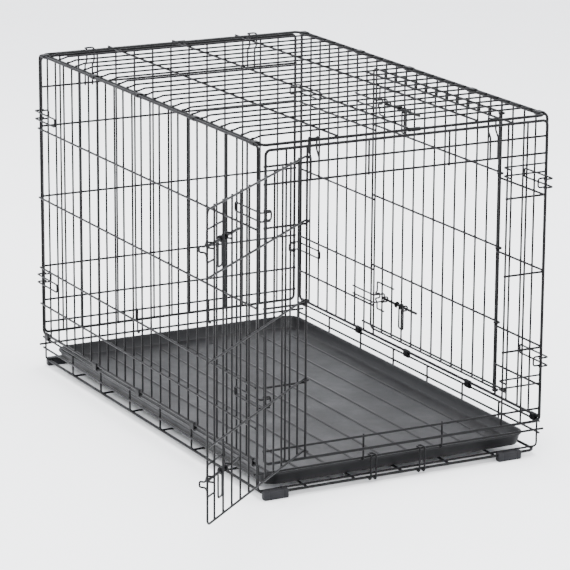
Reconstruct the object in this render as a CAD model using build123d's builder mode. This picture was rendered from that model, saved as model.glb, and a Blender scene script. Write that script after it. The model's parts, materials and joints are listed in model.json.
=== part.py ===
"""Folding wire dog crate with two doors, a slide-out pan and a back end that folds in.

Millimetres. X runs across the front, left to right; Y runs from the front (negative) to the back;
Z is up. The front door is drawn swung open, past the crate's left front corner, so the last lines move
every piece by one shift that puts the origin at the middle of the base of the drawn pose.
"""

import math
import os

from build123d import *

os.makedirs("parts", exist_ok=True)

# ---------------------------------------------------------------- wire sizes (radii)
FRAME_R = 2.5  # outline wires of the side, end and top panels
RAIL_R = 1.9  # level wires
BAR_R = 1.75  # upright and cross wires
FLOOR_R = 2.5  # outline wire of the floor
HOOK_R = 1.6  # hooks, loops, guides and handles
BOLT_R = 2.5  # latch bolts
PIVOT_R = 2.0  # wires that the end panels and doors turn on
WELD = 0.4  # how deep two welded wires sink into each other
RUN = 0.4  # running gap round a pivot wire

# ---------------------------------------------------------------- crate sizes
SIDE_X = 279.0  # side panel outline, from the middle
SIDE_Y = 444.0  # side panel end posts, from the middle
END_X = 271.5  # end panel outline posts, from the middle
END_Y = 456.5  # end panel plane, from the middle
TOP_X = 270.5  # top panel outline
TOP_Y = 446.0
TOP_Z = 609.0
END_TOP_Z = 602.5
END_BOTTOM_Z = 65.5
END_CORNER = 9.0  # bend at the corners of the end panels
SIDE_BOTTOM_Z = 68.0
FLANGE_TOP_Z = 60.0
FLANGE_MID_Z = 39.0
FLOOR_Z = 11.0
FLOOR_X = 268.0
FLOOR_Y = 450.0
PIVOT_Z = 46.0

SIDE_SPACES = 24  # spaces between side wires
END_SPACES = 14  # spaces between end wires
FLOOR_SPACES = 7  # spaces between the floor's cross wires
SIDE_PITCH = 2 * SIDE_Y / SIDE_SPACES
END_PITCH = 2 * END_X / END_SPACES
SIDE_RAILS_Z = (127.0, 198.0, 335.0, 469.0)
STRIP_RAILS_Z = (198.0, 334.0, 471.0)
SILL_Z = 87.0  # lowest level wire of the ends and of the side doorway
DOOR_HEAD_Z = 544.5  # top of the front doorway
HEAD_RAIL_Z = 574.5  # second rail over the front doorway, and the head of the side doorway
BACK_RAILS_Z = (SILL_Z, 131.0, 198.0, 335.0, 471.0, 546.0)
CORNER_HOOKS_Z = (173.5, 492.5)  # hooks of the sides and loops of the ends

# layers, counted from a panel's outline wire
RAIL_LAYER = FRAME_R + RAIL_R - WELD
BAR_LAYER = RAIL_LAYER - (RAIL_R + BAR_R - WELD)
SIDE_RAIL_X = SIDE_X + RAIL_LAYER
SIDE_BAR_X = SIDE_X + BAR_LAYER
END_RAIL_Y = END_Y - RAIL_LAYER
END_BAR_Y = END_Y - BAR_LAYER

# ---------------------------------------------------------------- doors
DOOR_LEVELS_Z = (77.0, 203.0, 340.0, 476.0, 584.0)
DOOR_LAP = 18.0  # how far a door passes its opening's far edge
DOOR_N = PIVOT_R + RUN + RAIL_R  # door wires stand this far out from the hinge wire's axis
DOOR_BAR_N = DOOR_N + RAIL_R + BAR_R - WELD
FRONT_OPEN = 5 * END_PITCH  # half the front opening
SIDE_HINGE_Y = -8 * SIDE_PITCH
SIDE_FAR_Y = 4 * SIDE_PITCH
FRONT_SWING = 139.8  # the front door stands this far open

# latches
LATCHES_Z = (140.5, 519.5)
BOLT_N = 15.7  # bolt axis, out from the hinge wire's axis
BOLT_LENGTH = 125.0
BOLT_SHORT = 27.0  # drawn-back nose, from the door's free edge
CATCH_HALF = 7.5  # half the height of a catch
CATCH_INSET = 4.9  # catch, inside the opening's far edge
HANDLE_DROP = 46.0
HANDLE_HALF = 8.0
HANDLE_BACK = 88.0  # handle, from the door's free edge

# ---------------------------------------------------------------- pan and feet
PAN_X = 262.0
PAN_Y = 437.0
PAN_HEIGHT = 23.0
PAN_WALL = 2.4
PAN_CORNER = 26.0
PAN_TAPER = 8.0  # the tray's base is this much smaller than its rim, all round
PAN_RIM = 2.0  # how far the rim turns out
FOOT_LENGTH = 46.0
FOOT_WIDTH = 13.0
FOOT_HEIGHT = 16.0
FOOT_CENTRES_X = (-247.0, 214.0)
PAN_HOOKS = {"pan_hook_left": -60.0, "pan_hook_right": 36.0}

# ---------------------------------------------------------------- clips
CLIP_LENGTH = 15.0
CLIP_SKIN = 0.9
CLIP_SPACES = (-11.5, -5.5, 0.5, 5.5, 11.5)  # clips stand between side wires, counted from the middle
FERRULE_X = 3.0
FERRULE_LENGTH = 22.0

FLANGE_BAR_R = 1.75
PIVOT_Y = END_RAIL_Y - (RAIL_R + HOOK_R - WELD) - (PIVOT_R + RUN + HOOK_R)
FLANGE_END_Y = PIVOT_Y - (PIVOT_R + FLANGE_BAR_R - WELD)
FLANGE_BAR_X = SIDE_X - (RAIL_R + FLANGE_BAR_R - WELD)
CROSS_Z = FLOOR_Z + FLOOR_R + FLANGE_BAR_R - WELD
PAN_Z = CROSS_Z + FLANGE_BAR_R + 0.2
INNER_RAIL_X = SIDE_BAR_X - (BAR_R + RAIL_R - WELD)  # rails of the doorway side, inside its bars

pieces = {}


# ---------------------------------------------------------------- wire helpers
def bent_wire(points, radius, bend, close=False):
    """One round wire through the points, with each corner bent to the radius given."""
    with BuildLine() as route:
        if len(points) == 2:
            Line(*points)
        else:
            FilletPolyline(*points, radius=bend, close=close)
    path = route.wires()[0]
    with BuildSketch(Plane(origin=path @ 0, z_dir=path % 0)) as section:
        Circle(radius)
    sweep(section.sketch, path=path, clean=False)


def corners(half, low, high):
    """The corners of a panel's outline, in order round it."""
    return [(-half, low), (half, low), (half, high), (-half, high)]


def straight_wires(plane, spots, radius, length):
    """Parallel straight wires that start on a plane."""
    with BuildSketch(plane) as sections:
        with Locations(*spots):
            Circle(radius)
    extrude(sections.sketch, amount=length, clean=False)


def upright_wires(spots, radius, low, high):
    straight_wires(Plane.XY.offset(low), spots, radius, high - low)


def cross_wires(spots, radius, half):
    """Level wires along X. Each spot is (y, z)."""
    straight_wires(Plane.YZ.offset(-half), spots, radius, 2 * half)


def long_wires(spots, radius, half):
    """Level wires along Y. Each spot is (x, z)."""
    straight_wires(Plane(origin=(0, -half, 0), x_dir=(1, 0, 0), z_dir=(0, 1, 0)),
                   [(x, -z) for x, z in spots], radius, 2 * half)


def keep(name, builder):
    """Label a finished piece and put it with the others."""
    builder.part.label = name
    pieces[name] = builder.part


# ---------------------------------------------------------------- floor
def floor():
    with BuildPart() as floor_frame:
        bent_wire([(x, y, FLOOR_Z) for x, y in corners(FLOOR_X, -FLOOR_Y, FLOOR_Y)], FLOOR_R, 14,
                  close=True)
    keep("floor_frame", floor_frame)

    pitch = 2 * FLANGE_END_Y / FLOOR_SPACES
    with BuildPart() as floor_cross_wires:
        for i in range(FLOOR_SPACES + 1):
            y = -FLANGE_END_Y + i * pitch
            bent_wire([(-FLANGE_BAR_X, y, FLANGE_TOP_Z + 2), (-FLANGE_BAR_X, y, CROSS_Z),
                       (FLANGE_BAR_X, y, CROSS_Z), (FLANGE_BAR_X, y, FLANGE_TOP_Z + 2)],
                      FLANGE_BAR_R, 6)
    keep("floor_cross_wires", floor_cross_wires)

    under = CROSS_Z - (FLANGE_BAR_R + RAIL_R - WELD)
    with BuildPart() as floor_long_wires:
        spacing = 2 * SIDE_X / 6
        long_wires([(i * spacing, under) for i in range(-2, 3)], RAIL_R, FLOOR_Y)
    keep("floor_long_wires", floor_long_wires)

    with BuildPart() as flange_rails:
        long_wires([(side * SIDE_X, z) for side in (-1, 1) for z in (FLANGE_MID_Z, FLANGE_TOP_Z)],
                   RAIL_R, FLANGE_END_Y + 3)
    keep("flange_rails", flange_rails)

    for name, end in (("front", -1), ("back", 1)):
        with BuildPart() as pivot_wire:
            cross_wires([(end * PIVOT_Y, PIVOT_Z)], PIVOT_R, SIDE_X + 8)
        keep(f"{name}_pivot_wire", pivot_wire)


def feet():
    """Moulded sleeves pressed on the floor's end wires."""
    with BuildPart() as feet_part:
        for end in (-1, 1):
            for x in FOOT_CENTRES_X:
                section = Plane(origin=(x - FOOT_LENGTH / 2, end * FLOOR_Y, 0),
                                x_dir=(0, 1, 0), z_dir=(1, 0, 0))
                with BuildSketch(section):
                    with Locations((0, FOOT_HEIGHT / 2)):
                        RectangleRounded(FOOT_WIDTH, FOOT_HEIGHT, 2.5)
                    with Locations((0, FLOOR_Z)):
                        Circle(FLOOR_R, mode=Mode.SUBTRACT)
                extrude(amount=FOOT_LENGTH)
    keep("feet", feet_part)


def pan():
    """Moulded tray with cut corners and a turned-out rim."""
    def outline(grow):
        x, y, cut = PAN_X + grow, PAN_Y + grow, PAN_CORNER
        return [(-x + cut, -y), (x - cut, -y), (x, -y + cut), (x, y - cut), (x - cut, y),
                (-x + cut, y), (-x, y - cut), (-x, -y + cut)]

    with BuildPart() as tray:
        for height, grow in ((0, -PAN_TAPER), (PAN_HEIGHT, -PAN_RIM)):
            with BuildSketch(Plane.XY.offset(PAN_Z + height)):
                Polygon(*outline(grow), align=None)
        loft()
        for height, grow in ((PAN_WALL, -PAN_TAPER - PAN_WALL), (PAN_HEIGHT, -PAN_RIM - PAN_WALL)):
            with BuildSketch(Plane.XY.offset(PAN_Z + height)):
                Polygon(*outline(grow), align=None)
        loft(mode=Mode.SUBTRACT)
        with BuildSketch(Plane.XY.offset(PAN_Z + PAN_HEIGHT - PAN_WALL)):
            Polygon(*outline(0), align=None)
            Polygon(*outline(-PAN_RIM - PAN_WALL), align=None, mode=Mode.SUBTRACT)
        extrude(amount=PAN_WALL)
    keep("pan", tray)


def pan_hooks():
    """U-shaped wires that turn on the floor's front wire and close over the front pivot wire."""
    front = -FLOOR_Y - (FLOOR_R + RUN + HOOK_R)
    rear = -FLOOR_Y + (FLOOR_R + RUN + HOOK_R)
    low = FLOOR_Z - (FLOOR_R + RUN + HOOK_R)
    top = PIVOT_Z + PIVOT_R + 0.6 + HOOK_R
    half = 5.0
    for name, x in PAN_HOOKS.items():
        with BuildPart() as hook:
            bent_wire([(x - half, rear, FLOOR_Z + 0.6), (x - half, rear, low), (x - half, front, low),
                       (x - half, front, top), (x - half, -PIVOT_Y + 4, top),
                       (x + half, -PIVOT_Y + 4, top), (x + half, front, top),
                       (x + half, front, low), (x + half, rear, low), (x + half, rear, FLOOR_Z + 0.6)],
                      HOOK_R, 4.3)
        keep(name, hook)


# ---------------------------------------------------------------- sides
def side_frame(side):
    with BuildPart() as frame:
        bent_wire([(side * SIDE_X, y, z) for y, z in corners(SIDE_Y, SIDE_BOTTOM_Z, TOP_Z)],
                  FRAME_R, 8, close=True)
    return frame


def corner_hooks(side):
    """Long U hooks whose tips turn in, outside the end panels' posts."""
    inner = SIDE_Y - 2 * SIDE_PITCH
    tip = END_Y + FRAME_R + 0.8 + HOOK_R
    with BuildPart() as hooks:
        for end in (-1, 1):
            for z in CORNER_HOOKS_Z:
                x = side * (SIDE_RAIL_X - RAIL_R + HOOK_R)
                bent_wire([(side * (END_X - 7), end * tip, z - 7.5), (x, end * tip, z - 7.5),
                           (x, end * inner, z - 7.5), (x, end * inner, z + 7.5),
                           (x, end * tip, z + 7.5), (side * (END_X - 7), end * tip, z + 7.5)],
                          HOOK_R, 4)
    return hooks


def left_side():
    keep("left_side_frame", side_frame(-1))
    ends = range(1 - SIDE_SPACES // 2, SIDE_SPACES // 2)
    with BuildPart() as bars:
        upright_wires([(-SIDE_BAR_X, i * SIDE_PITCH) for i in ends], BAR_R, SIDE_BOTTOM_Z, TOP_Z)
    keep("left_side_bars", bars)
    with BuildPart() as rails:
        long_wires([(-SIDE_RAIL_X, z) for z in SIDE_RAILS_Z], RAIL_R, SIDE_Y + 2)
    keep("left_side_rails", rails)
    keep("left_corner_hooks", corner_hooks(-1))


def right_side():
    """The side with a doorway: whole bars beside it, short bars over it, and cut rails inside."""
    keep("right_side_frame", side_frame(1))
    hinge, far = round(SIDE_HINGE_Y / SIDE_PITCH), round(SIDE_FAR_Y / SIDE_PITCH)
    ends = range(1 - SIDE_SPACES // 2, SIDE_SPACES // 2)
    whole = [(SIDE_BAR_X, i * SIDE_PITCH) for i in ends if i < hinge or i >= far]
    short = [(SIDE_BAR_X, i * SIDE_PITCH) for i in ends if hinge < i < far]
    with BuildPart() as bars:
        upright_wires(whole, BAR_R, SIDE_BOTTOM_Z, TOP_Z)
        upright_wires(short, BAR_R, HEAD_RAIL_Z - 2, TOP_Z)
    keep("right_side_bars", bars)
    with BuildPart() as hinge_wire:
        upright_wires([(SIDE_BAR_X, SIDE_HINGE_Y)], PIVOT_R, SIDE_BOTTOM_Z, TOP_Z)
    keep("side_hinge_wire", hinge_wire)
    with BuildPart() as rails:
        for z in SIDE_RAILS_Z:
            bent_wire([(INNER_RAIL_X, -SIDE_Y, z), (INNER_RAIL_X, SIDE_HINGE_Y, z)], RAIL_R, 0)
            bent_wire([(INNER_RAIL_X, SIDE_FAR_Y - 2, z), (INNER_RAIL_X, SIDE_Y, z)], RAIL_R, 0)
    keep("right_side_rails", rails)
    with BuildPart() as lintels:
        straight_wires(Plane(origin=(0, SIDE_HINGE_Y - SIDE_PITCH, 0), x_dir=(1, 0, 0), z_dir=(0, 1, 0)),
                       [(INNER_RAIL_X, -z) for z in (SILL_Z, HEAD_RAIL_Z)], RAIL_R,
                       SIDE_FAR_Y - SIDE_HINGE_Y + 2 * SIDE_PITCH)
    keep("side_doorway_rails", lintels)
    keep("right_corner_hooks", corner_hooks(1))


# ---------------------------------------------------------------- top
def top():
    with BuildPart() as frame:
        bent_wire([(x, y, TOP_Z) for x, y in corners(TOP_X, -TOP_Y, TOP_Y)], FRAME_R, 8, close=True)
    keep("top_frame", frame)
    long_z = TOP_Z + FRAME_R + RAIL_R - WELD
    cross_z = long_z + RAIL_R + BAR_R - WELD
    with BuildPart() as long_ones:
        long_wires([(x, long_z) for x in (-TOP_X / 2, 0, TOP_X / 2)], RAIL_R, TOP_Y + 2)
    keep("top_long_wires", long_ones)
    end_z = TOP_Z + FRAME_R + BAR_R - WELD
    with BuildPart() as cross_ones:
        for i in range(1 - SIDE_SPACES // 2, SIDE_SPACES // 2):
            y = i * SIDE_PITCH
            bent_wire([(-TOP_X - 1.5, y, end_z), (-TOP_X + 4, y, end_z), (-TOP_X + 16, y, cross_z),
                       (TOP_X - 16, y, cross_z), (TOP_X - 4, y, end_z), (TOP_X + 1.5, y, end_z)],
                      BAR_R, 8)
    keep("top_cross_wires", cross_ones)


# ---------------------------------------------------------------- clips
def clip(origin, x_dir, gap):
    """A steel strap folded round two parallel wires, centred on the pair."""
    inner = FRAME_R + 0.25
    along = Vector(0, 1, 0)
    plane = Plane(origin=Vector(*origin) - along * (CLIP_LENGTH / 2), x_dir=x_dir, z_dir=along)
    with BuildSketch(plane) as strap:
        SlotCenterToCenter(gap, 2 * (inner + CLIP_SKIN))
        SlotCenterToCenter(gap, 2 * inner, mode=Mode.SUBTRACT)
    extrude(strap.sketch, amount=CLIP_LENGTH)


def hinge_clips():
    gap = SIDE_X - TOP_X
    with BuildPart() as top_clips:
        for side in (-1, 1):
            for step in CLIP_SPACES:
                clip((side * (SIDE_X + TOP_X) / 2, step * SIDE_PITCH, TOP_Z), (1, 0, 0), gap)
    keep("top_hinge_clips", top_clips)
    gap = SIDE_BOTTOM_Z - FLANGE_TOP_Z
    with BuildPart() as bottom_clips:
        for side in (-1, 1):
            for step in CLIP_SPACES:
                clip((side * SIDE_X, step * SIDE_PITCH, (SIDE_BOTTOM_Z + FLANGE_TOP_Z) / 2),
                     (0, 0, 1), gap)
    keep("bottom_hinge_clips", bottom_clips)
    with BuildPart() as ferrules:
        for end in (-1, 1):
            ring = Plane(origin=(FERRULE_X, end * TOP_Y, TOP_Z), z_dir=(1, 0, 0))
            with BuildSketch(ring):
                Circle(FRAME_R + 1.2)
                Circle(FRAME_R, mode=Mode.SUBTRACT)
            extrude(amount=FERRULE_LENGTH)
    keep("top_frame_ferrules", ferrules)


# ---------------------------------------------------------------- ends
def end_frame(end):
    with BuildPart() as frame:
        bent_wire([(x, end * END_Y, z) for x, z in corners(END_X, END_BOTTOM_Z, END_TOP_Z)],
                  FRAME_R, END_CORNER, close=True)
    return frame


def end_pivot_hooks(end):
    """Two narrow wires, each bent round the pivot wire and welded to the lowest rails."""
    reach = PIVOT_R + RUN + HOOK_R
    outer = end * (PIVOT_Y + reach)
    inner = end * (PIVOT_Y - reach)
    with BuildPart() as hooks:
        for x in (-2 * END_PITCH, 2 * END_PITCH):
            bent_wire([(x, outer, 90), (x, outer, PIVOT_Z - reach), (x, inner, PIVOT_Z - reach),
                       (x, inner, PIVOT_Z + 0.2)], HOOK_R, 3.9)
    return hooks


def end_top_hooks(end):
    """Two U wires that stand inside the end panel and lie over the top panel's end wire."""
    rail = end * (END_RAIL_Y - RAIL_R - HOOK_R + WELD)
    inside = end * (TOP_Y - FRAME_R - 0.9 - HOOK_R)
    over = end * (TOP_Y + 5)
    top = TOP_Z + FRAME_R + 0.35 + HOOK_R
    with BuildPart() as hooks:
        for middle in (-176.0, 170.0):
            a, b = middle - 7.5, middle + 7.5
            bent_wire([(a, rail, 542), (a, rail, 580), (a, inside, 592), (a, inside, top), (a, over, top),
                       (b, over, top), (b, inside, top), (b, inside, 592), (b, rail, 580),
                       (b, rail, 542)], HOOK_R, 3)
    return hooks


def end_corner_loops(end):
    """Small U wires inside the posts, beside the side panels' hooks."""
    y = end * END_RAIL_Y
    with BuildPart() as loops:
        for side in (-1, 1):
            for z in CORNER_HOOKS_Z:
                bent_wire([(side * (END_X + 1), y, z - 8), (side * (END_X - 13), y, z - 8),
                           (side * (END_X - 13), y, z + 8), (side * (END_X + 1), y, z + 8)], HOOK_R, 4)
    return loops


def front_end():
    keep("front_frame", end_frame(-1))
    with BuildPart() as bars:
        upright_wires([(x, -END_BAR_Y) for x in (-6 * END_PITCH, 5 * END_PITCH, 6 * END_PITCH)],
                      BAR_R, END_BOTTOM_Z, END_TOP_Z)
        upright_wires([(x, -END_BAR_Y) for x in (-2 * END_PITCH, 2 * END_PITCH)],
                      BAR_R, DOOR_HEAD_Z - 2, END_TOP_Z)
    keep("front_bars", bars)
    with BuildPart() as hinge_wire:
        upright_wires([(-FRONT_OPEN, -END_BAR_Y)], PIVOT_R, END_BOTTOM_Z, END_TOP_Z)
    keep("front_hinge_wire", hinge_wire)
    with BuildPart() as rails:
        cross_wires([(-END_RAIL_Y, z) for z in (SILL_Z, DOOR_HEAD_Z, HEAD_RAIL_Z)], RAIL_R, END_X + 1)
        for z in STRIP_RAILS_Z:
            bent_wire([(-END_X - 1, -END_RAIL_Y, z), (-FRONT_OPEN, -END_RAIL_Y, z)], RAIL_R, 0)
            bent_wire([(FRONT_OPEN, -END_RAIL_Y, z), (END_X + 1, -END_RAIL_Y, z)], RAIL_R, 0)
    keep("front_rails", rails)
    keep("front_pivot_hooks", end_pivot_hooks(-1))
    keep("front_top_hooks", end_top_hooks(-1))
    keep("front_corner_loops", end_corner_loops(-1))


def back_end():
    keep("back_frame", end_frame(1))
    half = END_SPACES // 2
    with BuildPart() as bars:
        upright_wires([(i * END_PITCH, END_BAR_Y) for i in range(1 - half, half)], BAR_R,
                      END_BOTTOM_Z, END_TOP_Z)
    keep("back_bars", bars)
    with BuildPart() as rails:
        cross_wires([(END_RAIL_Y, z) for z in BACK_RAILS_Z], RAIL_R, END_X + 1)
    keep("back_rails", rails)
    keep("back_pivot_hooks", end_pivot_hooks(1))
    keep("back_top_hooks", end_top_hooks(1))
    keep("back_corner_loops", end_corner_loops(1))


# ---------------------------------------------------------------- doors and latches
def door_place(axis_x, axis_y, heading):
    """A function from door sizes (along, out, up) to the crate's frame. Heading is in degrees."""
    tx, ty = math.cos(math.radians(heading)), math.sin(math.radians(heading))

    def place(t, n, z):
        return (axis_x + t * tx + n * ty, axis_y + t * ty - n * tx, z)

    return place


def eye_points(t, level):
    """A door wire's run from t to the hinge, and its end curled round the hinge wire."""
    r = DOOR_N
    return [(t, r, level), (-r, r, level), (-r, -r, level), (r, -r, level), (r, -0.1, level)]


def door(name, place, edge, spaces):
    pitch = (edge - DOOR_LAP) / spaces
    bars_t = [DOOR_LAP + i * pitch for i in range(spaces)]
    low, high = DOOR_LEVELS_Z[0], DOOR_LEVELS_Z[-1]
    eye_bend = DOOR_N - 0.15
    with BuildPart() as outline:
        top_run = list(reversed(eye_points(edge, high)))
        points = [place(*p) for p in top_run + eye_points(edge, low)]
        bends = [eye_bend] * 3 + [9, 9] + [eye_bend] * 3
        bent_wire(points, RAIL_R, bends)
    keep(f"{name}_outline", outline)
    with BuildPart() as rails:
        for z in DOOR_LEVELS_Z[1:-1]:
            bent_wire([place(*p) for p in eye_points(edge, z)], RAIL_R, eye_bend)
    keep(f"{name}_rails", rails)
    with BuildPart() as bars:
        upright_wires([place(t, DOOR_BAR_N, 0)[:2] for t in bars_t], BAR_R, low - 2, high + 2)
    keep(f"{name}_bars", bars)
    guides(name, place, edge, pitch)


def guides(name, place, edge, pitch):
    """Per latch: the bent guide wire at the free edge and two loops that carry the bolt."""
    eye = BOLT_R + 0.5 + HOOK_R
    skin = DOOR_BAR_N + BAR_R + HOOK_R - WELD
    with BuildPart() as guide_wires:
        for z in LATCHES_Z:
            shape = [(edge - 2 * pitch - 2, skin, 30), (edge - 13, skin, 30), (edge - 13, skin, 12),
                     (edge - 6, skin, eye), (edge - 6, BOLT_N + eye, eye),
                     (edge - 6, BOLT_N + eye, -eye), (edge - 6, skin, -eye), (edge - 13, skin, -12),
                     (edge - 13, skin, -23), (edge - pitch - 2, skin, -23)]
            bent_wire([place(t, n, z + up) for t, n, up in shape], HOOK_R, 2.6)
    keep(f"{name}_latch_guides", guide_wires)
    with BuildPart() as loops:
        for z in LATCHES_Z:
            for t in (edge - pitch, edge - 3 * pitch):
                shape = [(t, DOOR_BAR_N, eye), (t, BOLT_N + eye, eye), (t, BOLT_N + eye, -eye),
                         (t, DOOR_BAR_N, -eye)]
                bent_wire([place(t, n, z + up) for t, n, up in shape], HOOK_R, 4)
    keep(f"{name}_bolt_loops", loops)


def latch(name, place, edge, z):
    """The sliding bolt, with two collars, and the U handle that hangs between them."""
    nose = edge - BOLT_SHORT
    heart = edge - HANDLE_BACK
    collar = HANDLE_HALF + HOOK_R + 0.4
    start, end = place(nose - BOLT_LENGTH, BOLT_N, z), place(nose, BOLT_N, z)
    direction = Vector(*end) - Vector(*start)
    with BuildPart() as bolt:
        with BuildSketch(Plane(origin=start, z_dir=direction)):
            Circle(BOLT_R)
        extrude(amount=BOLT_LENGTH)
        chamfer(bolt.edges().sort_by(Axis(start, direction))[-1], 1.2)
        for shift in (-collar - 2.0, collar):
            with BuildSketch(Plane(origin=place(heart + shift, BOLT_N, z), z_dir=direction)):
                Circle(BOLT_R + 1.6)
            extrude(amount=2.0)
    keep(f"{name}_bolt", bolt)
    r = BOLT_R + RUN + HOOK_R
    a, b = heart - HANDLE_HALF, heart + HANDLE_HALF
    side_a = [(a, BOLT_N + 0.1, -r), (a, BOLT_N - r, -r), (a, BOLT_N - r, r), (a, BOLT_N + r, r),
              (a, BOLT_N + r, -HANDLE_DROP)]
    side_b = [(b, n, up) for _, n, up in reversed(side_a)]
    with BuildPart() as handle:
        bent_wire([place(t, n, z + up) for t, n, up in side_a + side_b], HOOK_R,
                  [r - 0.15] * 3 + [3.5, 3.5] + [r - 0.15] * 3)
    keep(f"{name}_handle", handle)


def front_catches():
    far = FRONT_OPEN - CATCH_INSET
    out = -END_BAR_Y - (BOLT_N + BOLT_R + 0.8 + HOOK_R)
    with BuildPart() as catches:
        for z in LATCHES_Z:
            bent_wire([(END_X + 1, -END_RAIL_Y, z + CATCH_HALF), (far, -END_RAIL_Y, z + CATCH_HALF),
                       (far, out, z + CATCH_HALF), (far, out, z - CATCH_HALF),
                       (far, -END_RAIL_Y, z - CATCH_HALF), (END_X + 1, -END_RAIL_Y, z - CATCH_HALF)],
                      HOOK_R, 3.5)
    keep("front_catches", catches)


def side_catches():
    far = SIDE_FAR_Y - CATCH_INSET
    end = SIDE_FAR_Y + 2 * SIDE_PITCH + 2
    x = SIDE_BAR_X - (BAR_R + HOOK_R - WELD)
    out = SIDE_BAR_X + (BOLT_N + BOLT_R + 0.8 + HOOK_R)
    with BuildPart() as catches:
        for z in LATCHES_Z:
            bent_wire([(x, end, z + CATCH_HALF), (x, far, z + CATCH_HALF), (out, far, z + CATCH_HALF),
                       (out, far, z - CATCH_HALF), (x, far, z - CATCH_HALF), (x, end, z - CATCH_HALF)],
                      HOOK_R, 3.5)
    keep("side_catches", catches)


floor()
feet()
pan()
pan_hooks()
left_side()
right_side()
top()
hinge_clips()
front_end()
back_end()
front_place = door_place(-FRONT_OPEN, -END_BAR_Y, -FRONT_SWING)
side_place = door_place(SIDE_BAR_X, SIDE_HINGE_Y, 90.0)
front_edge = 2 * FRONT_OPEN + DOOR_LAP
side_edge = SIDE_FAR_Y - SIDE_HINGE_Y + DOOR_LAP
door("front_door", front_place, front_edge, 11)
door("side_door", side_place, side_edge, 12)
for where, latch_z in zip(("lower", "upper"), LATCHES_Z):
    latch(f"front_{where}", front_place, front_edge, latch_z)
    latch(f"side_{where}", side_place, side_edge, latch_z)
front_catches()
side_catches()

boxes = [piece.bounding_box() for piece in pieces.values()]
low_x, low_y, low_z = [min(getattr(box.min, axis) for box in boxes) for axis in "XYZ"]
high_x, high_y, high_z = [max(getattr(box.max, axis) for box in boxes) for axis in "XYZ"]
shift = Vector(-(low_x + high_x) / 2, -(low_y + high_y) / 2, 0)
for name, piece in pieces.items():
    moved = piece.translate(shift)
    moved.label = name
    export_step(moved, f"parts/{name}.step")
print(len(pieces), "nodes, shift", round(shift.X, 3), round(shift.Y, 3), "lowest", round(low_z, 3))
print("size", round(high_x - low_x, 1), round(high_y - low_y, 1), round(high_z - low_z, 1))
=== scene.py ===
import json
import math
import random

import bmesh
import bpy
from mathutils import Matrix, Vector


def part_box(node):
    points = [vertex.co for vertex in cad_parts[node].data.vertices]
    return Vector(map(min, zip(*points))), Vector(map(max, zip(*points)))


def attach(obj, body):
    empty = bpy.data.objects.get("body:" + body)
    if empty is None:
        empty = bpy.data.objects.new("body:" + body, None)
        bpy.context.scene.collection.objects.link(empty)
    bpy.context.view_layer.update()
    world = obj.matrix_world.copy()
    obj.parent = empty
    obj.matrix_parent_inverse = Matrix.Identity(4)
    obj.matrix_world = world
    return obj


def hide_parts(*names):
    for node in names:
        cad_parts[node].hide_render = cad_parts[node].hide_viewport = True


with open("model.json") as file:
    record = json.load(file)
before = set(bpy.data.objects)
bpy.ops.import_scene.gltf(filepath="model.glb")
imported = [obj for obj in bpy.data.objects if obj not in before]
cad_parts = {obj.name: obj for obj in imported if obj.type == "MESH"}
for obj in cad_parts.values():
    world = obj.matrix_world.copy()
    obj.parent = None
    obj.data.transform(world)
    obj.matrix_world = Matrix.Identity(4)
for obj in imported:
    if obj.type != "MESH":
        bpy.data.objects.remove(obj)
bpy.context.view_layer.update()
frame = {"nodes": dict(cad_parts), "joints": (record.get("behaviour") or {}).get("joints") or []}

bl_info = {
    "name": "Wire dog crate",
    "version": (1, 0, 0),
    "blender": (4, 5, 0),
    "location": "3D View > Sidebar > Dog crate",
    "description": "Coats, weld nuggets, tray, feet and stage of a folding wire dog crate",
    "category": "Mesh",
}

MM = 0.001
TOUCH = 0.1 * MM  # wires this near to each other count as crossing

# Wire panels: the body that each rides on, its straight wires, its outline, and how far it is turned.
# The front door stands as far open as its joint's range goes back to closed.
DOOR_TURN = next(-math.radians(joint["range_deg"][0]) for joint in frame["joints"]
                 if joint["name"] == "front_door_swing")
PANELS = {
    "left_side": ("crate", ("left_side_bars", "left_side_rails"), "left_side_frame", 0.0),
    "right_side": ("crate", ("right_side_bars", "right_side_rails", "side_doorway_rails",
                             "side_hinge_wire"), "right_side_frame", 0.0),
    "top": ("crate", ("top_cross_wires", "top_long_wires"), "top_frame", 0.0),
    "floor": ("crate", ("floor_cross_wires", "floor_long_wires", "flange_rails"), "floor_frame", 0.0),
    "front_end": ("crate", ("front_bars", "front_rails", "front_hinge_wire"), "front_frame", 0.0),
    "back_end": ("back_panel", ("back_bars", "back_rails"), "back_frame", 0.0),
    "front_door": ("front_door", ("front_door_bars", "front_door_rails"), "front_door_outline",
                   DOOR_TURN),
    "side_door": ("side_door", ("side_door_bars", "side_door_rails"), "side_door_outline", 0.0),
}
CLIP_NODES = ("top_hinge_clips", "bottom_hinge_clips", "top_frame_ferrules")


# ---------------------------------------------------------------- sizes and colours
class CrateSizes(bpy.types.PropertyGroup):
    nugget_length: bpy.props.FloatProperty(
        name="Nugget length", description="Half the length of a weld nugget along the wires",
        default=2.1 * MM, unit="LENGTH")
    nugget_height: bpy.props.FloatProperty(
        name="Nugget height", description="Half the height of a weld nugget across the joint",
        default=1.9 * MM, unit="LENGTH")
    tray_wall: bpy.props.FloatProperty(
        name="Tray wall", description="Thickness of the tray's wall", default=2.4 * MM, unit="LENGTH")
    tray_corner: bpy.props.FloatProperty(
        name="Tray corner", description="Radius of the tray's corners", default=30 * MM, unit="LENGTH")
    tray_rib: bpy.props.FloatProperty(
        name="Tray rib", description="Height of the ribs moulded in the tray's floor",
        default=1.6 * MM, unit="LENGTH")
    foot_round: bpy.props.FloatProperty(
        name="Foot rounding", description="Radius of a foot's edges", default=2.6 * MM, unit="LENGTH")


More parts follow.
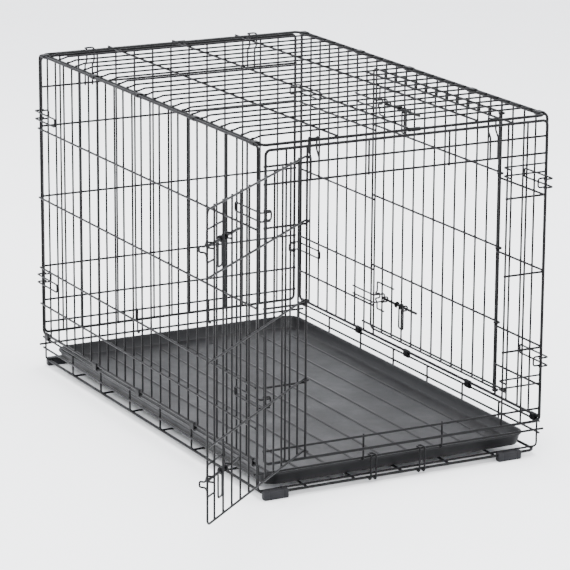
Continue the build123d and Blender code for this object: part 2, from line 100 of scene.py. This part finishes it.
class CrateColours(bpy.types.PropertyGroup):
    coat: bpy.props.FloatVectorProperty(
        name="Coat", description="Black coat of the wires", subtype="COLOR", size=3,
        default=(0.0016, 0.0016, 0.0019), min=0, max=1)
    dust: bpy.props.FloatVectorProperty(
        name="Dust", description="Dust on level wires and in the tray", subtype="COLOR", size=3,
        default=(0.040, 0.038, 0.036), min=0, max=1)
    bare_steel: bpy.props.FloatVectorProperty(
        name="Bare steel", description="Steel where the coat is rubbed through", subtype="COLOR", size=3,
        default=(0.090, 0.088, 0.086), min=0, max=1)
    tray: bpy.props.FloatVectorProperty(
        name="Tray", description="Moulded plastic of the tray", subtype="COLOR", size=3,
        default=(0.0045, 0.0045, 0.0050), min=0, max=1)
    foot: bpy.props.FloatVectorProperty(
        name="Foot", description="Moulded sleeves under the floor", subtype="COLOR", size=3,
        default=(0.008, 0.008, 0.009), min=0, max=1)
    floor: bpy.props.FloatVectorProperty(
        name="Floor", description="Studio floor", subtype="COLOR", size=3,
        default=(0.97, 0.97, 0.97), min=0, max=1)


class StageSettings(bpy.types.PropertyGroup):
    camera_offset: bpy.props.FloatVectorProperty(
        name="Camera offset", description="Camera place, from the floor under the middle of the crate",
        default=(-2.5429, -4.7946, 1.6817), size=3, unit="LENGTH")
    camera_turn: bpy.props.FloatProperty(
        name="Camera turn", description="Heading of the camera round the crate, from straight in front",
        default=math.radians(-28.02), unit="ROTATION")
    camera_rise: bpy.props.FloatProperty(
        name="Camera rise", description="How far the camera looks down", default=math.radians(14.925),
        unit="ROTATION")
    camera_roll: bpy.props.FloatProperty(
        name="Camera roll", description="Tilt of the camera to one side", default=math.radians(-0.33),
        unit="ROTATION")
    lens: bpy.props.FloatProperty(
        name="Lens", description="Focal length in millimetres", default=194.5)


# ---------------------------------------------------------------- shader helpers
def add_node(tree, kind, inputs=None, **settings):
    """A node with its settings, and values or links for its inputs."""
    node = tree.nodes.new(kind)
    for key, value in settings.items():
        setattr(node, key, value)
    for key, value in (inputs or {}).items():
        if isinstance(value, bpy.types.NodeSocket):
            tree.links.new(value, node.inputs[key])
        else:
            node.inputs[key].default_value = value
    return node


def effect_group(name, inputs, outputs):
    """An empty shader node group with named float inputs and outputs."""
    tree = bpy.data.node_groups.new(name, "ShaderNodeTree")
    for label, value in inputs.items():
        socket = tree.interface.new_socket(label, in_out="INPUT", socket_type="NodeSocketFloat")
        socket.default_value = value
    for label in outputs:
        tree.interface.new_socket(label, in_out="OUTPUT", socket_type="NodeSocketFloat")
    return tree, tree.nodes.new("NodeGroupInput"), tree.nodes.new("NodeGroupOutput")


def noise(tree, scale, detail, where, rough=0.55):
    return add_node(tree, "ShaderNodeTexNoise",
                    {"Scale": scale, "Detail": detail, "Roughness": rough, "Vector": where}).outputs["Fac"]


def multiply(tree, a, b):
    return add_node(tree, "ShaderNodeMath", {0: a, 1: b}, operation="MULTIPLY").outputs[0]


def spread(tree, value, low, high, to_low=0.0, to_high=1.0):
    return add_node(tree, "ShaderNodeMapRange",
                    {"Value": value, "From Min": low, "From Max": high, "To Min": to_low,
                     "To Max": to_high}).outputs["Result"]


def coat_skin():
    """The fine skin of a baked coat: orange peel, specks of grit, and slow changes in thickness."""
    tree, given, made = effect_group("Coat skin", {"Peel size": 900.0, "Patch size": 26.0},
                                     ("Height", "Patches"))
    where = add_node(tree, "ShaderNodeTexCoord").outputs["Object"]
    peel = noise(tree, given.outputs["Peel size"], 3.0, where)
    grit_size = multiply(tree, given.outputs["Peel size"], 3.1)
    grit = spread(tree, noise(tree, grit_size, 1.0, where), 0.66, 0.78)
    height = add_node(tree, "ShaderNodeMath", {0: peel, 1: multiply(tree, grit, 0.5)},
                      operation="ADD").outputs[0]
    patches = spread(tree, noise(tree, given.outputs["Patch size"], 4.0, where), 0.32, 0.68)
    tree.links.new(height, made.inputs["Height"])
    tree.links.new(patches, made.inputs["Patches"])
    return tree


def settled_dust():
    """Dust on faces that look up, thicker in drifts."""
    tree, given, made = effect_group("Settled dust", {"Amount": 0.3, "Drift size": 14.0}, ("Mask",))
    where = add_node(tree, "ShaderNodeTexCoord").outputs["Object"]
    facing = add_node(tree, "ShaderNodeSeparateXYZ",
                      {0: add_node(tree, "ShaderNodeNewGeometry").outputs["Normal"]}).outputs["Z"]
    upward = spread(tree, facing, 0.25, 1.0)
    drifts = spread(tree, noise(tree, given.outputs["Drift size"], 6.0, where, 0.65), 0.38, 0.72)
    mask = multiply(tree, multiply(tree, upward, drifts), given.outputs["Amount"])
    tree.links.new(mask, made.inputs["Mask"])
    return tree


def rubbed_spots():
    """Short scuffs where the coat has been rubbed."""
    tree, given, made = effect_group("Rubbed spots", {"Amount": 0.2, "Spot size": 160.0}, ("Mask",))
    where = add_node(tree, "ShaderNodeTexCoord").outputs["Object"]
    spots = spread(tree, noise(tree, given.outputs["Spot size"], 5.0, where, 0.7), 0.60, 0.72)
    areas = spread(tree, noise(tree, 9.0, 2.0, where), 0.50, 0.66)
    mask = multiply(tree, multiply(tree, spots, areas), given.outputs["Amount"])
    tree.links.new(mask, made.inputs["Mask"])
    return tree


EFFECTS = {}


def effect(tree, maker, inputs):
    """A group node for an effect. Each effect's group is built once."""
    if maker.__name__ not in EFFECTS:
        EFFECTS[maker.__name__] = maker()
    node = tree.nodes.new("ShaderNodeGroup")
    node.node_tree = EFFECTS[maker.__name__]
    for label, value in inputs.items():
        node.inputs[label].default_value = value
    return node.outputs


def mix_colour(tree, factor, a, b):
    node = tree.nodes.new("ShaderNodeMix")
    node.data_type = "RGBA"
    for socket, value in ((node.inputs[0], factor), (node.inputs[6], a), (node.inputs[7], b)):
        if isinstance(value, bpy.types.NodeSocket):
            tree.links.new(value, socket)
        else:
            socket.default_value = value
    return node.outputs[2]


def finish_material(name, colour, roughness, peel, bump, dust, rubbed, patch_size=26.0, lift=1.9,
                    specular=0.12):
    """A finish of one base colour, with its skin, slow patches, dust and rubbed spots."""
    colours = bpy.context.scene.crate_colours
    material = bpy.data.materials.new(name)
    material.use_nodes = True
    tree = material.node_tree
    shader = tree.nodes["Principled BSDF"]
    skin = effect(tree, coat_skin, {"Peel size": peel, "Patch size": patch_size})
    dusty = effect(tree, settled_dust, {"Amount": dust, "Drift size": 14.0})["Mask"]
    worn = effect(tree, rubbed_spots, {"Amount": rubbed, "Spot size": 160.0})["Mask"]
    base = (*colour, 1.0)
    lighter = (*[min(1.0, part * lift) for part in colour], 1.0)
    tone = mix_colour(tree, skin["Patches"], base, lighter)
    tone = mix_colour(tree, worn, tone, (*colours.bare_steel, 1.0))
    tone = mix_colour(tree, dusty, tone, (*colours.dust, 1.0))
    smoother, rougher = roughness - 0.06, roughness + 0.08
    gloss = spread(tree, skin["Patches"], 0.0, 1.0, smoother, rougher)
    gloss = add_node(tree, "ShaderNodeMath", {0: gloss, 1: multiply(tree, dusty, 0.5)},
                     operation="ADD", use_clamp=True).outputs[0]
    relief = add_node(tree, "ShaderNodeBump",
                      {"Height": skin["Height"], "Strength": bump, "Distance": 0.15 * MM})
    tree.links.new(tone, shader.inputs["Base Color"])
    tree.links.new(gloss, shader.inputs["Roughness"])
    tree.links.new(relief.outputs["Normal"], shader.inputs["Normal"])
    shader.inputs["Specular IOR Level"].default_value = specular
    return material


def wear(piece, material):
    """Gives a piece or CAD node its one finish."""
    piece.data.materials.clear()
    piece.data.materials.append(material)


# ---------------------------------------------------------------- reading the wires
def separate_wires(node, turn):
    """The boxes of a node's separate wires, in the panel's own frame."""
    mesh = frame["nodes"][node].data
    place = {}
    joined = []

    def top_of(i):
        while joined[i] != i:
            joined[i] = joined[joined[i]]
            i = joined[i]
        return i

    index = []
    for vertex in mesh.vertices:
        key = tuple(round(value, 6) for value in vertex.co)
        if key not in place:
            place[key] = len(joined)
            joined.append(len(joined))
        index.append(place[key])
    for edge in mesh.edges:
        a, b = (top_of(index[v]) for v in edge.vertices)
        joined[a] = b
    spin = Matrix.Rotation(turn, 3, "Z")
    boxes = {}
    for key, i in place.items():
        point = spin @ Vector(key)
        low, high = boxes.setdefault(top_of(i), (point.copy(), point.copy()))
        for axis in range(3):
            low[axis] = min(low[axis], point[axis])
            high[axis] = max(high[axis], point[axis])
    return list(boxes.values())


def outline_sides(node, turn):
    """An outline's straight sides as boxes, worked out from its whole box and its wire's thickness."""
    boxes = separate_wires(node, turn)
    low = Vector([min(box[0][axis] for box in boxes) for axis in range(3)])
    high = Vector([max(box[1][axis] for box in boxes) for axis in range(3)])
    flat = min(range(3), key=lambda axis: high[axis] - low[axis])
    across = [axis for axis in range(3) if axis != flat]
    is_door = node.endswith("door_outline")
    thick = high[flat] - low[flat]
    if is_door:
        # A door's outline is bent out of flat, and is of the same wire as its level rails.
        rail_low, rail_high = separate_wires(node.replace("outline", "rails"), turn)[0]
        thick = rail_high.z - rail_low.z
    sides = []
    for axis in across:
        for near in (True, False):
            # A door's outline has no upright of its own on the hinge side.
            if is_door and axis != 2 and near:
                continue
            a, b = low.copy(), high.copy()
            if near:
                b[axis] = low[axis] + thick
            else:
                a[axis] = high[axis] - thick
            if is_door and node.startswith("side"):
                a[flat] = b[flat] - thick
            elif is_door:
                b[flat] = a[flat] + thick
            sides.append((a, b))
    return sides


def crossings(wires, outline):
    """The middles of the places where wires of different headings meet each other or the outline.

    Two sides of the outline meet in a bend, which has no weld."""
    found = []
    for i, (low_a, high_a) in enumerate(wires):
        size_a = high_a - low_a
        along_a = max(range(3), key=lambda axis: size_a[axis])
        for low_b, high_b in wires[i + 1:] + outline:
            size_b = high_b - low_b
            if along_a == max(range(3), key=lambda axis: size_b[axis]):
                continue
            low = Vector([max(low_a[axis], low_b[axis]) for axis in range(3)])
            high = Vector([min(high_a[axis], high_b[axis]) for axis in range(3)])
            if all(high[axis] - low[axis] > -TOUCH for axis in range(3)):
                found.append(((low + high) / 2, min(range(3), key=lambda axis: high[axis] - low[axis])))
    return found


# ---------------------------------------------------------------- mesh helpers
def mesh_piece(name, body, material, build):
    """A smooth mesh piece that rides on a body."""
    work = bmesh.new()
    build(work)
    bmesh.ops.recalc_face_normals(work, faces=work.faces)
    mesh = bpy.data.meshes.new(name)
    work.to_mesh(mesh)
    work.free()
    for face in mesh.polygons:
        face.use_smooth = True
    piece = bpy.data.objects.new(name, mesh)
    bpy.context.scene.collection.objects.link(piece)
    wear(piece, material)
    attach(piece, body)
    return piece


def smooth_by_angle(piece, angle=math.radians(35)):
    """Keeps the corners sharper than the angle."""
    work = bmesh.new()
    work.from_mesh(piece.data)
    for edge in work.edges:
        if len(edge.link_faces) == 2:
            edge.smooth = edge.calc_face_angle() < angle
    work.to_mesh(piece.data)
    work.free()


def lofted(work, rings, close_ends=True):
    """A skin over rings of points, each with the same number of points."""
    made = [[work.verts.new(point) for point in ring] for ring in rings]
    count = len(made[0])
    for lower, upper in zip(made, made[1:]):
        for i in range(count):
            j = (i + 1) % count
            work.faces.new((lower[i], lower[j], upper[j], upper[i]))
    if close_ends:
        work.faces.new(list(reversed(made[0])))
        work.faces.new(made[-1])
    return made


def rounded_rectangle(half_x, half_y, radius, steps=8):
    """Points round a rectangle with rounded corners, about the origin."""
    points = []
    for quarter, (side_x, side_y) in enumerate(((1, 1), (-1, 1), (-1, -1), (1, -1))):
        for step in range(steps + 1):
            angle = math.radians(90) * (quarter + step / steps)
            points.append((side_x * (half_x - radius) + radius * math.cos(angle),
                           side_y * (half_y - radius) + radius * math.sin(angle)))
    return points


# ---------------------------------------------------------------- operators
class DOGCRATE_OT_coats(bpy.types.Operator):
    """Give every wire, hook, clip and bolt its coat"""
    bl_idname = "dogcrate.coats"
    bl_label = "Coats"

    def execute(self, context):
        colours = context.scene.crate_colours
        wire = finish_material("satin_black_coat", colours.coat, 0.40, 900.0, 0.30, 0.12, 0.08)
        bolt = finish_material("rubbed_bolt_coat", colours.coat, 0.32, 900.0, 0.22, 0.08, 0.55)
        handle = finish_material("handle_coat", colours.coat, 0.36, 900.0, 0.25, 0.10, 0.3)
        clip = finish_material("folded_clip_coat", colours.coat, 0.46, 700.0, 0.35, 0.18, 0.30, lift=2.4)
        for name, node in frame["nodes"].items():
            if name in CLIP_NODES:
                wear(node, clip)
            elif name.endswith("_bolt"):
                wear(node, bolt)
            elif name.endswith("_handle"):
                wear(node, handle)
            else:
                wear(node, wire)
        return {"FINISHED"}


class DOGCRATE_OT_nuggets(bpy.types.Operator):
    """Put a weld nugget wherever two wires of a panel cross"""
    bl_idname = "dogcrate.nuggets"
    bl_label = "Weld nuggets"

    def execute(self, context):
        sizes = context.scene.crate_sizes
        colours = context.scene.crate_colours
        draw = random.Random(4)
        weld = finish_material("weld_nugget_coat", colours.coat, 0.44, 500.0, 0.5, 0.15, 0.2)
        for panel, (body, nodes, outline, turn) in PANELS.items():
            wires = [box for node in nodes for box in separate_wires(node, turn)]
            sides = outline_sides(outline, turn)
            back = Matrix.Rotation(-turn, 3, "Z")

            def build(work, wires=wires, sides=sides, back=back):
                for middle, across in crossings(wires, sides):
                    scale = [sizes.nugget_length * draw.uniform(0.88, 1.15) for _ in range(3)]
                    scale[across] = sizes.nugget_height * draw.uniform(0.9, 1.1)
                    made = bmesh.ops.create_uvsphere(work, u_segments=10, v_segments=6, radius=1.0)
                    for vertex in made["verts"]:
                        point = Vector([vertex.co[axis] * scale[axis] for axis in range(3)])
                        vertex.co = back @ (middle + point)

            mesh_piece(f"{panel}_weld_nuggets", body, weld, build)
        return {"FINISHED"}


class DOGCRATE_OT_tray(bpy.types.Operator):
    """Build the moulded tray with its rolled rim and ribbed floor"""
    bl_idname = "dogcrate.tray"
    bl_label = "Tray"

    def execute(self, context):
        sizes = context.scene.crate_sizes
        colours = context.scene.crate_colours
        low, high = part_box("pan")
        middle = (low + high) / 2
        half_x, half_y = (high.x - low.x) / 2, (high.y - low.y) / 2
        tall = high.z - low.z
        wall = sizes.tray_wall
        # Each ring of the tray's section: how far in from the rim, and how high.
        section = [(11.5 * MM, 0.0), (9.2 * MM, 0.5 * MM), (7.6 * MM, 2.6 * MM), (3.4 * MM, tall - 6 * MM),
                   (2.6 * MM, tall - 4.0 * MM), (0.5 * MM, tall - 3.6 * MM), (0.0, tall - 2.6 * MM),
                   (0.15 * MM, tall - 0.9 * MM), (0.9 * MM, tall), (3.6 * MM, tall),
                   (4.6 * MM, tall - 1.1 * MM), (4.9 * MM + wall * 0.2, tall - 5 * MM),
                   (7.8 * MM + wall, 4.4 * MM), (9.4 * MM + wall, 2.9 * MM), (12.5 * MM + wall, wall)]

        def build(work):
            rings = []
            for inset, height in section:
                radius = max(sizes.tray_corner - inset, 8 * MM)
                outline = rounded_rectangle(half_x - inset, half_y - inset, radius)
                rings.append([(middle.x + x, middle.y + y, low.z + height) for x, y in outline])
            lofted(work, rings)
            rib_half = 3.0 * MM
            ribs = 9
            side_gap, end_gap, sunk = 45 * MM, 48 * MM, 0.2 * MM
            length = half_y - end_gap
            for i in range(ribs):
                x = middle.x + (i - (ribs - 1) / 2) * (2 * half_x - 2 * side_gap) / (ribs - 1)
                levels = ((rib_half, 0.0), (rib_half, sizes.tray_rib * 0.5),
                          (rib_half * 0.55, sizes.tray_rib))
                rings = []
                for half, rise in levels:
                    points = rounded_rectangle(half, length - (rib_half - half), half * 0.98, 4)
                    rings.append([(x + px, middle.y + py, low.z + wall - sunk + rise) for px, py in points])
                lofted(work, rings)

        plastic = finish_material("tray_plastic", colours.tray, 0.42, 420.0, 0.55, 0.20, 0.12,
                                  patch_size=12.0, lift=1.6, specular=0.18)
        tray = mesh_piece("tray", "pan", plastic, build)
        smooth_by_angle(tray)
        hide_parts("pan")
        return {"FINISHED"}


class DOGCRATE_OT_feet(bpy.types.Operator):
    """Build the moulded sleeves that the crate stands on"""
    bl_idname = "dogcrate.feet"
    bl_label = "Feet"

    def execute(self, context):
        sizes = context.scene.crate_sizes
        colours = context.scene.crate_colours
        places = separate_wires("feet", 0.0)
        # Half of a sleeve's length in shares, with how far it pinches in: a groove, then eased ends.
        half_profile = ((0.54, 0.0), (0.58, 0.6 * MM), (0.62, 0.0), (0.93, 0.0), (0.97, 0.4 * MM),
                        (1.0, 1.3 * MM))
        profile = [(-step, pinch) for step, pinch in reversed(half_profile)] + list(half_profile)

        def build(work):
            for low, high in places:
                middle = (low + high) / 2
                half = (high - low) / 2
                rings = []
                for step, pinch in profile:
                    outline = rounded_rectangle(half.y - pinch, half.z - pinch, sizes.foot_round, 5)
                    rings.append([(middle.x + step * half.x, middle.y + y, middle.z + z)
                                  for y, z in outline])
                lofted(work, rings)

        moulded = finish_material("foot_plastic", colours.foot, 0.55, 600.0, 0.5, 0.15, 0.05)
        feet = mesh_piece("foot_sleeves", "crate", moulded, build)
        smooth_by_angle(feet)
        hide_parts("feet")
        return {"FINISHED"}


class DOGCRATE_OT_stage(bpy.types.Operator):
    """Set up the pale floor, the soft lights and the camera"""
    bl_idname = "dogcrate.stage"
    bl_label = "Stage"

    def execute(self, context):
        self.floor(context)
        self.lights(context)
        self.camera(context)
        return {"FINISHED"}

    def middle(self):
        low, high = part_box("top_frame")
        return Vector(((low.x + high.x) / 2, (low.y + high.y) / 2, 0))

    def floor(self, context):
        """A floor that curves up into a backdrop far behind the crate."""
        reach, bend, bend_steps = 14.0, 2.5, 12
        work = bmesh.new()
        section = [(-reach, 0.0), (reach - bend, 0.0)]
        for step in range(1, bend_steps + 1):
            angle = math.radians(90) * step / bend_steps
            section.append((reach - bend + bend * math.sin(angle), bend - bend * math.cos(angle)))
        section.append((reach, reach))
        edges = [[work.verts.new((x, y, z)) for y, z in section] for x in (-reach, reach)]
        for i in range(len(section) - 1):
            work.faces.new((edges[0][i], edges[1][i], edges[1][i + 1], edges[0][i + 1]))
        mesh = bpy.data.meshes.new("studio_floor")
        work.to_mesh(mesh)
        work.free()
        for face in mesh.polygons:
            face.use_smooth = True
        floor = bpy.data.objects.new("studio_floor", mesh)
        context.scene.collection.objects.link(floor)
        paper = bpy.data.materials.new("studio_paper")
        paper.use_nodes = True
        tree = paper.node_tree
        shader = tree.nodes["Principled BSDF"]
        where = add_node(tree, "ShaderNodeTexCoord").outputs["Object"]
        colour = (*context.scene.crate_colours.floor, 1.0)
        shade = (*[part * 0.97 for part in colour[:3]], 1.0)
        tree.links.new(mix_colour(tree, noise(tree, 3.0, 3.0, where), colour, shade),
                       shader.inputs["Base Color"])
        shader.inputs["Roughness"].default_value = 0.75
        floor.data.materials.append(paper)

    def lights(self, context):
        """Three large soft panels and a pale surround."""
        middle = self.middle()
        for name, offset, size, power in (("key", (-2.6, -3.2, 3.4), 2.6, 260.0),
                                          ("fill", (3.6, -2.2, 2.2), 2.4, 80.0),
                                          ("overhead", (0.2, 0.6, 4.2), 3.0, 260.0)):
            data = bpy.data.lights.new(name, "AREA")
            data.size = size
            data.energy = power
            lamp = bpy.data.objects.new(name, data)
            lamp.location = middle + Vector(offset)
            aim = middle + Vector((0, 0, 0.3)) - lamp.location
            lamp.rotation_euler = aim.to_track_quat("-Z", "Y").to_euler()
            context.scene.collection.objects.link(lamp)
        world = bpy.data.worlds.new("surround")
        world.use_nodes = True
        surround = world.node_tree.nodes["Background"]
        surround.inputs["Color"].default_value = (0.93, 0.95, 1.0, 1.0)
        surround.inputs["Strength"].default_value = 2.8
        context.scene.world = world

    def camera(self, context):
        stage = context.scene.crate_stage
        data = bpy.data.cameras.new("camera")
        data.lens = stage.lens
        data.clip_end = 60.0
        turn, rise, roll = stage.camera_turn, stage.camera_rise, stage.camera_roll
        back = Vector((math.sin(turn) * math.cos(rise), -math.cos(turn) * math.cos(rise), math.sin(rise)))
        right = Vector((0, 0, 1)).cross(back).normalized()
        up = back.cross(right)
        tilted_right = right * math.cos(roll) - up * math.sin(roll)
        tilted_up = up * math.cos(roll) + right * math.sin(roll)
        camera = bpy.data.objects.new("camera", data)
        camera.matrix_world = Matrix((tilted_right, tilted_up, back)).transposed().to_4x4()
        camera.location = self.middle() + Vector(stage.camera_offset)
        context.scene.collection.objects.link(camera)
        context.scene.camera = camera


class DOGCRATE_PT_panel(bpy.types.Panel):
    """The crate's steps and settings"""
    bl_idname = "DOGCRATE_PT_panel"
    bl_label = "Dog crate"
    bl_space_type = "VIEW_3D"
    bl_region_type = "UI"
    bl_category = "Dog crate"

    def draw(self, context):
        for settings in (context.scene.crate_sizes, context.scene.crate_colours, context.scene.crate_stage):
            for name in settings.__annotations__:
                self.layout.prop(settings, name)
        for operator in OPERATORS:
            self.layout.operator(operator.bl_idname)


OPERATORS = (DOGCRATE_OT_coats, DOGCRATE_OT_nuggets, DOGCRATE_OT_tray, DOGCRATE_OT_feet,
             DOGCRATE_OT_stage)
CLASSES = (CrateSizes, CrateColours, StageSettings, *OPERATORS, DOGCRATE_PT_panel)


def register():
    for item in CLASSES:
        bpy.utils.register_class(item)
    bpy.types.Scene.crate_sizes = bpy.props.PointerProperty(type=CrateSizes)
    bpy.types.Scene.crate_colours = bpy.props.PointerProperty(type=CrateColours)
    bpy.types.Scene.crate_stage = bpy.props.PointerProperty(type=StageSettings)


def unregister():
    del bpy.types.Scene.crate_stage
    del bpy.types.Scene.crate_colours
    del bpy.types.Scene.crate_sizes
    for item in reversed(CLASSES):
        bpy.utils.unregister_class(item)


def main():
    register()
    bpy.ops.dogcrate.coats()
    bpy.ops.dogcrate.nuggets()
    bpy.ops.dogcrate.tray()
    bpy.ops.dogcrate.feet()
    bpy.ops.dogcrate.stage()


if __name__ == "__main__":
    main()
